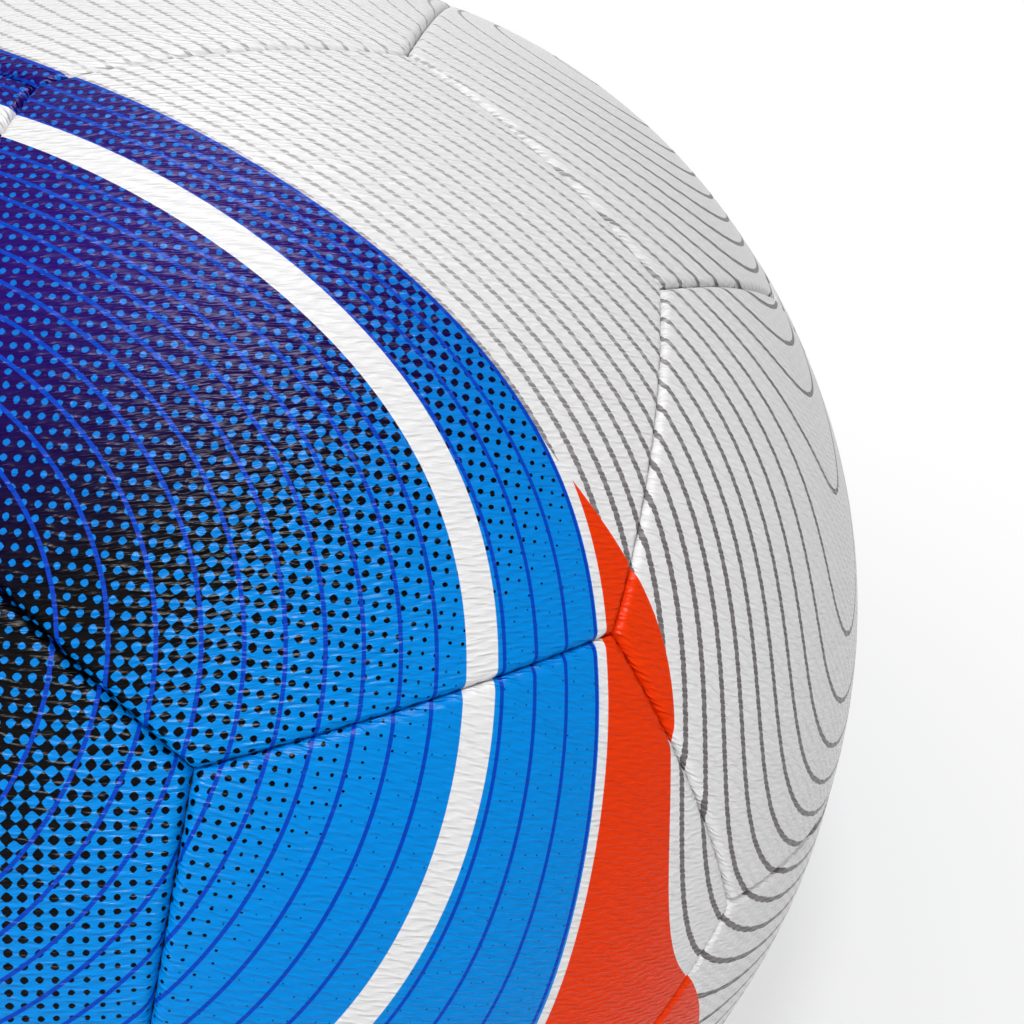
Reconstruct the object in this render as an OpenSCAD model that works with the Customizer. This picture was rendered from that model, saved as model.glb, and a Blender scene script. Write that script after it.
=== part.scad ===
// Stitched match ball of 20 hexagonal and 12 pentagonal panels over an inflated bladder.
// The origin is the centre of the ball and +Z runs out through the valve.
// Every panel is a shallow tray: a crowned cover whose edges turn inwards to be sewn
// back to back with its neighbours, with a woven lining bonded between those edges.

/* [Ball] */
// Diameter over the crowns of the panels
ball_d = 220; // [190:1:240]
// Drop of a panel's edge below its crown, as the panel swells between seams
panel_swell = 0.45; // [0.1:0.05:1.5]

/* [Panels] */
// Thickness of the cover at the crown
cover_t = 2.4; // [1.4:0.1:4]
// Thickness of the edge that turns inwards to be sewn
turn_in_t = 1.5; // [0.8:0.1:3]
// Thickness of the lining bonded under the cover
lining_t = 1.6; // [0.8:0.1:3]
// Clearance between layers that lie on each other
ply_gap = 0.1; // [0.05:0.01:0.2]

/* [Seams] */
// Gap between the sewn edges of two panels
seam_gap = 0.4; // [0.3:0.05:0.8]
// Radius of the shoulder that rolls over into the seam
shoulder_r = 1.2; // [1:0.1:3]
// Angle at which the shoulder breaks from the crown
shoulder_break = 12; // [6:1:25]
// Diameter of the waxed thread that shows in the groove
thread_d = 0.4; // [0.3:0.05:1]
// Clearance between the thread and the shoulders it lies on
thread_clear = 0.05; // [0.03:0.01:0.2]
// Distance from a seam's corner to the end of its thread
thread_end = 1.4; // [1:0.1:3]

/* [Bladder] */
// Wall of the bladder
bladder_t = 1.2; // [0.6:0.1:2.5]

/* [Valve] */
// Diameter of the valve's stem
stem_d = 9; // [7.5:0.1:12]
// Length of the stem, from its mouth to its inner end
stem_l = 19; // [15:0.5:26]
// Depth of the stem's mouth below the crown
stem_recess = 0.5; // [0.2:0.1:1.2]
// Clearance round the stem in the layers it passes through
stem_clear = 0.15; // [0.1:0.05:0.4]
// Rounding of the stem's rim
stem_round = 0.6; // [0.2:0.1:0.8]
// Diameter of the flange on the inside of the bladder
flange_d = 28; // [18:1:40]
// Thickness of the flange
flange_t = 1.6; // [0.8:0.1:3]
// Diameter of the reinforcing patch in the lining
patch_d = 32; // [20:1:36]
// Diameter of the plug
plug_d = 4.6; // [3.8:0.1:5]
// Length of the plug with its head and bulb
plug_l = 14; // [10:0.5:14.5]
// Diameter of the plug's head and of its retaining bulb
plug_head_d = 6; // [5.4:0.1:6.4]
// Height of the plug's head
plug_head_h = 1.4; // [0.8:0.1:2]
// Height of the plug's retaining bulb
plug_bulb_h = 2; // [1.2:0.1:3]
// Clearance between the plug and its socket
plug_clear = 0.06; // [0.03:0.01:0.12]
// Diameter of the hole for the inflating needle
needle_d = 2; // [1.6:0.1:2.4]
// Diameter of the funnel that leads the needle in
funnel_d = 3.2; // [2.8:0.1:3.6]
// Depth of that funnel
funnel_h = 0.9; // [0.5:0.1:1.2]

/* [Hidden] */
$fn = 96;

// Radii of the layers, from the outside in
ball_r = ball_d / 2;
cover_in_r = ball_r - cover_t;
lining_out_r = cover_in_r - ply_gap;
lining_in_r = lining_out_r - lining_t;
bladder_out_r = lining_in_r - ply_gap;
bladder_in_r = bladder_out_r - bladder_t;
flange_out_r = bladder_in_r - ply_gap;
flange_in_r = flange_out_r - flange_t;

// A block this large holds any half of the ball
reach = 2 * ball_r;

// Truncated icosahedron on a sphere: ratio of its edge to its radius
edge_ratio = 4 / sqrt(58 + 18 * sqrt(5));
edge_angle = 2 * asin(edge_ratio / 2);
// Angle from a panel's axis to its corners and to the middle of its edges
function corner_polar(sides) = asin(edge_ratio / (2 * sin(180 / sides)));
function edge_polar(sides) = atan(tan(corner_polar(sides)) * cos(180 / sides));

// A panel's crown is a sphere a little smaller than the ball, moved out along the panel's axis
function swell_shift(sides) = panel_swell / (1 - cos(edge_polar(sides)));

// Directions of the 12 pentagons, with the middle of a hexagon on +Z
upper_polar = acos(sqrt((5 + 2 * sqrt(5)) / 15));
middle_polar = acos(sqrt((5 - 2 * sqrt(5)) / 15));
rings = [
    [upper_polar, 90],
    [middle_polar, 30],
    [180 - middle_polar, 90],
    [180 - upper_polar, 30],
];
function direction(polar, azimuth) =
    [sin(polar) * cos(azimuth), sin(polar) * sin(azimuth), cos(polar)];
pentagons = [for (ring = rings) for (k = [0:2]) direction(ring[0], ring[1] + 120 * k)];

// Two pentagons are neighbours when a seam between two hexagons joins them
function unit(v) = v / norm(v);
neighbour_cos = 1 / sqrt(5);
function near(i, j) = i != j && abs(pentagons[i] * pentagons[j] - neighbour_cos) < 0.01;
function corner(i, j) = unit(2 * pentagons[i] + pentagons[j]);

last = len(pentagons) - 1;
pairs = [for (i = [0:last]) for (j = [i:last]) if (near(i, j)) [i, j]];
// Each hexagon lies between three pentagons that are all neighbours; the valve's comes first
hexagons = [for (p = pairs) for (k = [p[1]:last]) if (near(p[0], k) && near(p[1], k)) [p[0], p[1], k]];
function hexagon_axis(h) = unit(pentagons[h[0]] + pentagons[h[1]] + pentagons[h[2]]);
function first_neighbour(i) = [for (j = [0:last]) if (near(i, j)) j][0];

// Seams as pairs of corners: between two hexagons, and round each pentagon
hexagon_seams = [for (p = pairs) [corner(p[0], p[1]), corner(p[1], p[0])]];
pentagon_seams = [for (i = [0:last]) for (p = pairs)
    if (near(i, p[0]) && near(i, p[1])) [corner(i, p[0]), corner(i, p[1])]];

// Centre of the circle that rounds a shoulder, along the seam's axis and out from it
shoulder_axial = seam_gap / 2 + shoulder_r;
shoulder_centre_r = ball_r - panel_swell - shoulder_r * cos(shoulder_break);
shoulder_seat = sqrt(shoulder_centre_r ^ 2 - shoulder_axial ^ 2);
// The ring that cuts a shoulder runs just past both ends of its edge
shoulder_angle = edge_angle + 2 * asin(shoulder_axial / ball_r);

// The thread lies where it meets the shoulders on both sides of the groove
thread_r = thread_d / 2;
thread_reach = shoulder_r + thread_r + thread_clear;
thread_path_r = shoulder_seat + sqrt(max(0, thread_reach ^ 2 - shoulder_axial ^ 2));
thread_angle = edge_angle - 2 * asin(thread_end / thread_path_r);

// Valve
stem_r = stem_d / 2;
stem_top = ball_r - stem_recess;
stem_bottom = stem_top - stem_l;
stem_hole_r = stem_r + stem_clear;
patch_r = patch_d / 2;

// Names of the nodes
function two_digits(k) = str(k < 10 ? "0" : "", k);
function hexagon_name(k) = k == 0 ? "valve_panel" : str("hexagon_panel_", two_digits(k));
function pentagon_name(k) = str("pentagon_panel_", two_digits(k + 1));

// Turns +Z to an axis and +X towards a second direction, then draws the children there
module facing(axis, towards) {
    x = unit(towards - (towards * axis) * axis);
    y = cross(axis, x);
    multmatrix([
        [x[0], y[0], axis[0], 0],
        [x[1], y[1], axis[1], 0],
        [x[2], y[2], axis[2], 0],
    ]) children();
}

module on_hexagon(h) {
    facing(hexagon_axis(h), corner(h[0], h[1])) children();
}

module on_pentagon(i) {
    facing(pentagons[i], corner(i, first_neighbour(i))) children();
}

// Draws the children once for each edge of a panel, with +Z pointing in from the seam's plane
module each_edge(sides) {
    for (k = [0:sides - 1])
        rotate([0, 0, (k + 0.5) * 360 / sides])
            rotate([0, edge_polar(sides) - 90, 0])
                children();
}

// Everything on the far side of a panel's seam planes, moved in by an inset
module beyond_edges(sides, inset) {
    each_edge(sides)
        translate([-reach, -reach, inset - reach])
            cube([2 * reach, 2 * reach, reach]);
}

// Piece of a ring that rolls a panel's shoulder over into the seam
module shoulder_cutter() {
    rotate([0, 0, -shoulder_angle / 2])
        rotate_extrude(angle = shoulder_angle)
            difference() {
                translate([shoulder_seat, 0])
                    square([ball_r, shoulder_axial]);
                translate([shoulder_seat, shoulder_axial])
                    circle(shoulder_r);
            }
}

// Cover with its turned-in edges, standing on the ball's centre with its crown on +Z
module cover(sides) {
    difference() {
        translate([0, 0, swell_shift(sides)])
            sphere(ball_r - swell_shift(sides));
        beyond_edges(sides, seam_gap / 2);
        each_edge(sides)
            shoulder_cutter();
        difference() {
            sphere(cover_in_r);
            beyond_edges(sides, seam_gap / 2 + turn_in_t);
        }
        sphere(lining_in_r);
    }
}

// Lining between the turned-in edges of a panel
module lining(sides) {
    difference() {
        sphere(lining_out_r);
        beyond_edges(sides, seam_gap / 2 + turn_in_t + ply_gap);
        sphere(lining_in_r);
    }
}

// Round hole along the valve's axis
module valve_hole(radius) {
    cylinder(h = reach, r = radius);
}

module valve_panel() {
    color("white")
        difference() {
            on_hexagon(hexagons[0])
                cover(6);
            valve_hole(stem_hole_r);
        }
}

module hexagon_panel(k) {
    color("white")
        on_hexagon(hexagons[k])
            cover(6);
}

module pentagon_panel(k) {
    color("dodgerblue")
        on_pentagon(k)
            cover(5);
}

module hexagon_linings() {
    color("beige") {
        difference() {
            on_hexagon(hexagons[0])
                lining(6);
            valve_hole(patch_r + ply_gap);
        }
        for (k = [1:len(hexagons) - 1])
            on_hexagon(hexagons[k])
                lining(6);
    }
}

module pentagon_linings() {
    color("beige")
        for (k = [0:last])
            on_pentagon(k)
                lining(5);
}

module valve_patch() {
    color("tan")
        intersection() {
            difference() {
                sphere(lining_out_r);
                sphere(lining_in_r);
            }
            difference() {
                valve_hole(patch_r);
                valve_hole(stem_hole_r);
            }
        }
}

// Thread along one seam, held back from the corners where three seams meet
module seam_thread(seam) {
    middle = unit(seam[0] + seam[1]);
    facing(unit(cross(seam[0], seam[1])), middle)
        rotate([0, 0, -thread_angle / 2])
            rotate_extrude(angle = thread_angle)
                translate([thread_path_r, 0])
                    circle(thread_r);
}

module hexagon_seam_thread() {
    color("dimgray")
        for (seam = hexagon_seams)
            seam_thread(seam);
}

module pentagon_seam_thread() {
    color("dimgray")
        for (seam = pentagon_seams)
            seam_thread(seam);
}

module bladder() {
    color("black")
        difference() {
            sphere(bladder_out_r);
            sphere(bladder_in_r);
            valve_hole(stem_hole_r);
        }
}

// Outside of the plug as a half section, grown by a clearance and run up past its head
function plug_outline(grow, above) = let (
    head_r = plug_head_d / 2 + grow,
    neck_r = plug_d / 2 + grow
) [
    [neck_r, -plug_l - grow],
    [head_r, -plug_l + plug_bulb_h / 2],
    [neck_r, -plug_l + plug_bulb_h + grow],
    [neck_r, -plug_head_h - grow],
    [head_r, -plug_head_h - grow],
    [head_r, above],
];

// Socket for the plug, open at the stem's mouth
module plug_socket() {
    rotate_extrude()
        polygon(concat(
            [[0, -plug_l - plug_clear]],
            plug_outline(plug_clear, stem_round),
            [[0, stem_round]]
        ));
}

module valve_body() {
    color("dimgray")
        difference() {
            union() {
                rotate_extrude()
                    polygon([
                        [0, stem_bottom],
                        [stem_r, stem_bottom],
                        [stem_r, stem_top - stem_round],
                        [stem_r - stem_round, stem_top],
                        [0, stem_top],
                    ]);
                intersection() {
                    difference() {
                        sphere(flange_out_r);
                        sphere(flange_in_r);
                    }
                    valve_hole(flange_d / 2);
                }
            }
            translate([0, 0, stem_top])
                plug_socket();
        }
}

// The needle's hole runs right through the plug and opens into a funnel at its head
module valve_plug() {
    color("slategray")
        translate([0, 0, stem_top])
            rotate_extrude()
                polygon(concat(
                    [[needle_d / 2, -plug_l]],
                    plug_outline(0, 0),
                    [[funnel_d / 2, 0], [needle_d / 2, -funnel_h]]
                ));
}

valve_panel();
for (k = [1:len(hexagons) - 1])
    hexagon_panel(k);
for (k = [0:last])
    pentagon_panel(k);
hexagon_linings();
pentagon_linings();
valve_patch();
hexagon_seam_thread();
pentagon_seam_thread();
bladder();
valve_body();
valve_plug();
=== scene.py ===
"""A stitched 32-panel ball with a contour-map print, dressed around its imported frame."""

import logging
import math
from dataclasses import dataclass
from enum import Enum
from itertools import combinations

import bpy
import numpy as np
from mathutils import Matrix, Vector


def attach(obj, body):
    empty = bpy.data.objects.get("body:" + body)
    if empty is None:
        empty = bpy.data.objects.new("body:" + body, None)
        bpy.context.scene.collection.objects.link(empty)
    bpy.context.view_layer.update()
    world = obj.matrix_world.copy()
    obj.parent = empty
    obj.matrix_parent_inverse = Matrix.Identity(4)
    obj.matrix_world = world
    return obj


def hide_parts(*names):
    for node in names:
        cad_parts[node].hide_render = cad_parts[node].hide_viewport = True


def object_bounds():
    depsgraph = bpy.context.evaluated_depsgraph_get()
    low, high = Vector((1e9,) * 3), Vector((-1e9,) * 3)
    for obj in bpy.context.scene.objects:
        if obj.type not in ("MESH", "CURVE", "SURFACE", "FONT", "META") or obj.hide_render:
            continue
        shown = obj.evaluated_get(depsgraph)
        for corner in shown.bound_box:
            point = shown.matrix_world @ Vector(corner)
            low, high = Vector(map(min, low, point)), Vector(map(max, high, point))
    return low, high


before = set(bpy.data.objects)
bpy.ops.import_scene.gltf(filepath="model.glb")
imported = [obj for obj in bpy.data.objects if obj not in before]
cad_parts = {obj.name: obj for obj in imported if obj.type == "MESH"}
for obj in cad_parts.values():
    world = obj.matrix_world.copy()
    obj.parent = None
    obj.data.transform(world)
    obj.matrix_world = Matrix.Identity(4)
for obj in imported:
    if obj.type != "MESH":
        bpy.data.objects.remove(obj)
CAD_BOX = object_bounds()

MM = 0.001
TURN = 2 * math.pi
TINY = 1e-9
GOLDEN = (math.sqrt(5) - 1) / 2
BODY = "root"
FLAT_MAP = "Flat"
BAKE_MAP = "OFBake"
PRINT_SHIFT = "print_shift"
GRAIN_TURN = "grain_turn"
LOG = logging.getLogger("ball")

# The curve from screen colours to linear ones: a straight start, then a power
BYTE = 255
CURVE_START = 0.04045
CURVE_SLOPE = 12.92
CURVE_SHIFT = 0.055
CURVE_POWER = 2.4

Array = np.ndarray
Socket = bpy.types.NodeSocket
Sockets = bpy.types.bpy_prop_collection
Span = tuple[float, float]
Triple = tuple[float, float, float]
Colour = tuple[float, float, float, float]
Value = Socket | float | tuple


def paint(red: int, green: int, blue: int) -> Colour:
    """Turns a colour of 0 to 255 parts into the linear colour that shaders take.

    Args:
        red: Red part.
        green: Green part.
        blue: Blue part.

    Returns:
        The linear colour with an alpha of 1.
    """
    linear = []
    for part in (red, green, blue):
        share = part / BYTE
        curved = ((share + CURVE_SHIFT) / (1 + CURVE_SHIFT)) ** CURVE_POWER
        linear.append(share / CURVE_SLOPE if share <= CURVE_START else curved)
    return (*linear, 1.0)


def unit(vector: Array) -> Array:
    """Gives the vector a length of 1."""
    return vector / np.linalg.norm(vector)


# Shader graphs


class Graph:
    """Adds and links the nodes of one shader tree."""

    NUMBER_RESULTS = ("DOT_PRODUCT", "LENGTH")
    MIX_FACTOR, MIX_FIRST, MIX_SECOND, MIX_RESULT = 0, 6, 7, 2

    def __init__(self, tree: bpy.types.NodeTree) -> None:
        """Keeps the tree that the nodes go into."""
        self.tree = tree

    def node(self, kind: str, **settings: object) -> bpy.types.Node:
        """Adds a node.

        Args:
            kind: The node's type, without the ShaderNode prefix.
            settings: Properties of the node and their values.

        Returns:
            The new node.
        """
        node = self.tree.nodes.new("ShaderNode" + kind)
        for name, value in settings.items():
            setattr(node, name, value)
        return node

    def feed(self, target: Socket, value: Value) -> None:
        """Links an output to an input, or sets the input to a constant.

        Args:
            target: The input.
            value: The output, or the constant.
        """
        if isinstance(value, Socket):
            self.tree.links.new(value, target)
        else:
            target.default_value = value

    def math(self, operation: str, *values: Value, clamp: bool = False) -> Socket:
        """Adds a Math node.

        Args:
            operation: The node's operation.
            values: Its inputs, as outputs of other nodes or as constants.
            clamp: Whether the result stays between 0 and 1.

        Returns:
            The node's output.
        """
        node = self.node("Math", operation=operation, use_clamp=clamp)
        for target, value in zip(node.inputs, values):
            self.feed(target, value)
        return node.outputs[0]

    def vector(self, operation: str, *values: Value) -> Socket:
        """Adds a Vector Math node.

        Args:
            operation: The node's operation.
            values: Its vector inputs.

        Returns:
            The node's number for a length or a product, and its vector otherwise.
        """
        node = self.node("VectorMath", operation=operation)
        for target, value in zip(node.inputs, values):
            self.feed(target, value)
        return node.outputs["Value" if operation in self.NUMBER_RESULTS else "Vector"]

    def scaled(self, vector: Value, factor: Value) -> Socket:
        """Multiplies a vector by a number.

        Args:
            vector: The vector.
            factor: The number.

        Returns:
            The longer or shorter vector.
        """
        node = self.node("VectorMath", operation="SCALE")
        self.feed(node.inputs["Vector"], vector)
        self.feed(node.inputs["Scale"], factor)
        return node.outputs["Vector"]

    def parts(self, vector: Value) -> Sockets:
        """Splits a vector.

        Args:
            vector: The vector.

        Returns:
            The outputs X, Y and Z.
        """
        node = self.node("SeparateXYZ")
        self.feed(node.inputs[0], vector)
        return node.outputs

    def spot(self) -> Socket:
        """Gives the place in the object's own frame, in metres."""
        return self.node("TexCoord").outputs["Object"]

    def blend(self, factor: Value, first: Value, second: Value) -> Socket:
        """Mixes two colours.

        Args:
            factor: The share of the second colour.
            first: The colour at 0.
            second: The colour at 1.

        Returns:
            The mixed colour.
        """
        node = self.node("Mix", data_type="RGBA")
        self.feed(node.inputs[self.MIX_FACTOR], factor)
        self.feed(node.inputs[self.MIX_FIRST], first)
        self.feed(node.inputs[self.MIX_SECOND], second)
        return node.outputs[self.MIX_RESULT]

    def ramp(self, value: Value, span: Span, to_low: float, to_high: float) -> Socket:
        """Maps a value smoothly from one range to another.

        Args:
            value: The value that is mapped.
            span: Where the first range starts and ends.
            to_low: The result at the start, and below it.
            to_high: The result at the end, and above it.

        Returns:
            The mapped value.
        """
        node = self.node("MapRange", interpolation_type="SMOOTHSTEP")
        for target, number in zip(node.inputs, (value, *span, to_low, to_high)):
            self.feed(target, number)
        return node.outputs[0]

    def noise(self, place: Value, scale: float, detail: float, roughness: float = 0.5) -> Socket:
        """Adds a noise texture.

        Args:
            place: The coordinates that it reads.
            scale: Its size, in cycles for each unit of the coordinates.
            detail: How many finer layers it adds.
            roughness: How strong the finer layers are.

        Returns:
            The noise value.
        """
        node = self.node("TexNoise", noise_dimensions="3D")
        self.feed(node.inputs["Vector"], place)
        self.feed(node.inputs["Scale"], scale)
        self.feed(node.inputs["Detail"], detail)
        self.feed(node.inputs["Roughness"], roughness)
        return node.outputs[0]

    def use(self, group: bpy.types.NodeTree, **inputs: Value) -> Sockets:
        """Places a node group.

        Args:
            group: The group.
            inputs: Its inputs by name, with _ for a space.

        Returns:
            The group's outputs.
        """
        node = self.node("Group", node_tree=group)
        for name, value in inputs.items():
            self.feed(node.inputs[name.replace("_", " ")], value)
        return node.outputs


class GroupGraph(Graph):
    """The tree of a new node group, with its sockets."""

    def __init__(self, name: str, takes: dict[str, str], gives: dict[str, str]) -> None:
        """Makes the group.

        Args:
            name: The group's name.
            takes: Its inputs' names and kinds, without the NodeSocket prefix.
            gives: Its outputs' names and kinds.
        """
        super().__init__(bpy.data.node_groups.new(name, "ShaderNodeTree"))
        for way, sockets in (("INPUT", takes), ("OUTPUT", gives)):
            for label, kind in sockets.items():
                self.tree.interface.new_socket(label, in_out=way, socket_type="NodeSocket" + kind)
        self.takes = self.tree.nodes.new("NodeGroupInput").outputs
        self.gives = self.tree.nodes.new("NodeGroupOutput").inputs


class MaterialGraph(Graph):
    """The tree of a new material, with its Principled shader."""

    def __init__(self, name: str, **constants: Value) -> None:
        """Makes the material.

        Args:
            name: The material's name.
            constants: Shader inputs that are the same all over, with _ for a space.
        """
        self.material = bpy.data.materials.new(name)
        self.material.use_nodes = True
        super().__init__(self.material.node_tree)
        self.shader = self.tree.nodes["Principled BSDF"]
        for label, value in constants.items():
            self.shader.inputs[label.replace("_", " ")].default_value = value

    def link(self, label: str, value: Socket) -> None:
        """Links an output to one of the shader's inputs."""
        self.tree.links.new(value, self.shader.inputs[label])

    def bump(self, height: Socket, depth: float, strength: float) -> None:
        """Raises the surface's normals.

        Args:
            height: The height, from 0 to 1.
            depth: How far 1 stands above 0, in millimetres.
            strength: How much of it shows.
        """
        node = self.node("Bump")
        node.inputs["Strength"].default_value = strength
        node.inputs["Distance"].default_value = depth * MM
        self.feed(node.inputs["Height"], height)
        self.link("Normal", node.outputs["Normal"])


# The layout of the panels


class Cut(Enum):
    """The outlines that panels are cut to."""

    PENTAGON = 5
    HEXAGON = 6

    @property
    def sides(self) -> int:
        """How many sides the outline has."""
        return self.value


@dataclass(frozen=True)
class Panel:
    """One cover panel: its names, its outline and where it lies."""

    name: str
    node: str
    cut: Cut
    axis: Array
    toward: Array
    pierced: bool = False

    def basis(self) -> Array:
        """Gives the panel's X, Y and outward axes as rows."""
        x_axis = unit(self.toward - self.axis * (self.toward @ self.axis))
        return np.array([x_axis, np.cross(self.axis, x_axis), self.axis])


@dataclass(frozen=True)
class Layout:
    """Twelve pentagons and twenty hexagons on a ball, whose radius is in millimetres."""

    radius: float
    stitches: int = 20
    near_product: float = 1 / math.sqrt(5)
    near_slack: float = 0.01

    @property
    def edge_ratio(self) -> float:
        """A seam's chord as a share of the ball's radius."""
        return 4 / math.sqrt(58 + 18 * math.sqrt(5))

    @property
    def edge_angle(self) -> float:
        """The angle that a seam spans at the ball's centre."""
        return 2 * math.asin(self.edge_ratio / 2)

    def corner_polar(self, cut: Cut) -> float:
        """The angle from a panel's middle to its corners."""
        return math.asin(self.edge_ratio / (2 * math.sin(math.pi / cut.sides)))

    def edge_polar(self, cut: Cut) -> float:
        """The angle from a panel's middle to the middle of a seam."""
        return math.atan(math.tan(self.corner_polar(cut)) * math.cos(math.pi / cut.sides))

    def pentagon_axes(self) -> list[Array]:
        """Finds the pentagons: four rings of three, with a hexagon at the top.

        Returns:
            Their directions, ring by ring from the top.
        """
        high = math.acos(math.sqrt((5 + 2 * math.sqrt(5)) / 15))
        low = math.acos(math.sqrt((5 - 2 * math.sqrt(5)) / 15))
        rings = ((high, 90), (low, 30), (math.pi - low, 90), (math.pi - high, 30))
        axes = []
        for polar, start in rings:
            for turn in range(3):
                azimuth = math.radians(start + 120 * turn)
                flat = (math.cos(azimuth) * math.sin(polar), math.sin(azimuth) * math.sin(polar))
                axes.append(np.array([*flat, math.cos(polar)]))
        return axes

    def near(self, *axes: Array) -> bool:
        """Whether pentagons are all neighbours of one another."""
        products = [first @ second for first, second in combinations(axes, 2)]
        return all(abs(product - self.near_product) < self.near_slack for product in products)

    def corner(self, first: Array, second: Array) -> Array:
        """The corner next to the first pentagon on the line to the second."""
        return unit(2 * first + second)

    def panels(self) -> list[Panel]:
        """Lists the hexagons, each between three pentagons, and then the pentagons.

        Returns:
            All the panels, with the one that holds the valve first.
        """
        found = []
        axes = self.pentagon_axes()
        around = [three for three in combinations(axes, 3) if self.near(*three)]
        for number, (first, second, third) in enumerate(around):
            name = f"hexagon_cover_{number:02d}" if number else "valve_cover"
            node = f"hexagon_panel_{number:02d}" if number else "valve_panel"
            axis, toward = unit(first + second + third), self.corner(first, second)
            found.append(Panel(name, node, Cut.HEXAGON, axis, toward, number == 0))
        for number, axis in enumerate(axes, 1):
            neighbour = next(other for other in axes if self.near(axis, other))
            names = f"pentagon_cover_{number:02d}", f"pentagon_panel_{number:02d}"
            found.append(Panel(*names, Cut.PENTAGON, axis, self.corner(axis, neighbour)))
        return found

    def hexagon_seams(self) -> list[tuple[Array, Array]]:
        """Lists the ends of the seams between two hexagons."""
        pairs = [pair for pair in combinations(self.pentagon_axes(), 2) if self.near(*pair)]
        return [(self.corner(a, b), self.corner(b, a)) for a, b in pairs]

    def pentagon_seams(self) -> list[tuple[Array, Array]]:
        """Lists the ends of the seams round the pentagons.

        Returns:
            A pair of corners for each seam.
        """
        axes = self.pentagon_axes()
        return [
            (self.corner(axis, b), self.corner(axis, c))
            for axis in axes
            for b, c in combinations(axes, 2)
            if self.near(axis, b, c)
        ]


# Mesh help


def deselect() -> None:
    """Leaves edit mode and deselects every object."""
    if bpy.context.object and bpy.context.object.mode != "OBJECT":
        bpy.ops.object.mode_set(mode="OBJECT")
    bpy.ops.object.select_all(action="DESELECT")


def points(piece: bpy.types.Object) -> Array:
    """Reads a mesh's points.

    Args:
        piece: The object.

    Returns:
        A row for each point.
    """
    flat = np.empty(len(piece.data.vertices) * 3)
    piece.data.vertices.foreach_get("co", flat)
    return flat.reshape(-1, 3)


def place(piece: bpy.types.Object, rows: Array) -> None:
    """Moves a mesh's points."""
    piece.data.vertices.foreach_set("co", rows.astype(np.float32).ravel())
    piece.data.update()


def choose(piece: bpy.types.Object, chosen: Array) -> None:
    """Selects points of the mesh in edit, and nothing else.

    Args:
        piece: The object in edit mode.
        chosen: For each point, whether it is selected.
    """
    bpy.ops.mesh.select_mode(type="VERT")
    bpy.ops.mesh.select_all(action="DESELECT")
    bpy.ops.object.mode_set(mode="OBJECT")
    piece.data.vertices.foreach_set("select", chosen)
    bpy.ops.object.mode_set(mode="EDIT")


def turn_outwards() -> None:
    """Turns the faces of the mesh in edit outwards, and leaves edit mode."""
    bpy.ops.mesh.select_all(action="SELECT")
    bpy.ops.mesh.normals_make_consistent(inside=False)
    bpy.ops.object.mode_set(mode="OBJECT")


def draw_rim(reach: float, step: float, rows: int) -> float:
    """Extrudes the selected rim in rows, level with it.

    Args:
        reach: The rim's distance from the middle.
        step: How much further out each row lies.
        rows: How many rows there are.

    Returns:
        The last row's distance.
    """
    for _ in range(rows):
        growth = (reach + step) / reach
        bpy.ops.mesh.extrude_edges_move()
        bpy.ops.transform.resize(value=(growth, growth, 1), center_override=(0, 0, 0))
        reach += step
    return reach


def copy_of(piece: bpy.types.Object, name: str) -> bpy.types.Object:
    """Copies an object, with a mesh of its own.

    Args:
        piece: The object.
        name: The copy's name.

    Returns:
        The copy.
    """
    twin = piece.copy()
    twin.data = piece.data.copy()
    twin.name = twin.data.name = name
    bpy.context.scene.collection.objects.link(twin)
    return twin


def finish_piece(
    piece: bpy.types.Object, material: bpy.types.Material, slot: str, *nodes: str
) -> None:
    """Gives a piece its material and its place in the frame.

    Args:
        piece: The piece.
        material: Its material.
        slot: Not used.
        nodes: The CAD nodes that it stands for.
    """
    piece.data.materials.clear()
    piece.data.materials.append(material)
    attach(piece, BODY)
    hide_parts(*nodes)
    LOG.info("%s: %d faces", piece.name, len(piece.data.polygons))


# Finishes


@dataclass(frozen=True)
class Relief:
    """The print's field of hills: what shader nodes give for it at each place.

    Heights are shares of a wave, the slope is for each millimetre, and inland is the distance
    from the shore in millimetres. The slow field varies the print over the ball.
    """

    height: Socket
    slope: Socket
    above: Socket
    inland: Socket
    slow: Socket


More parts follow.
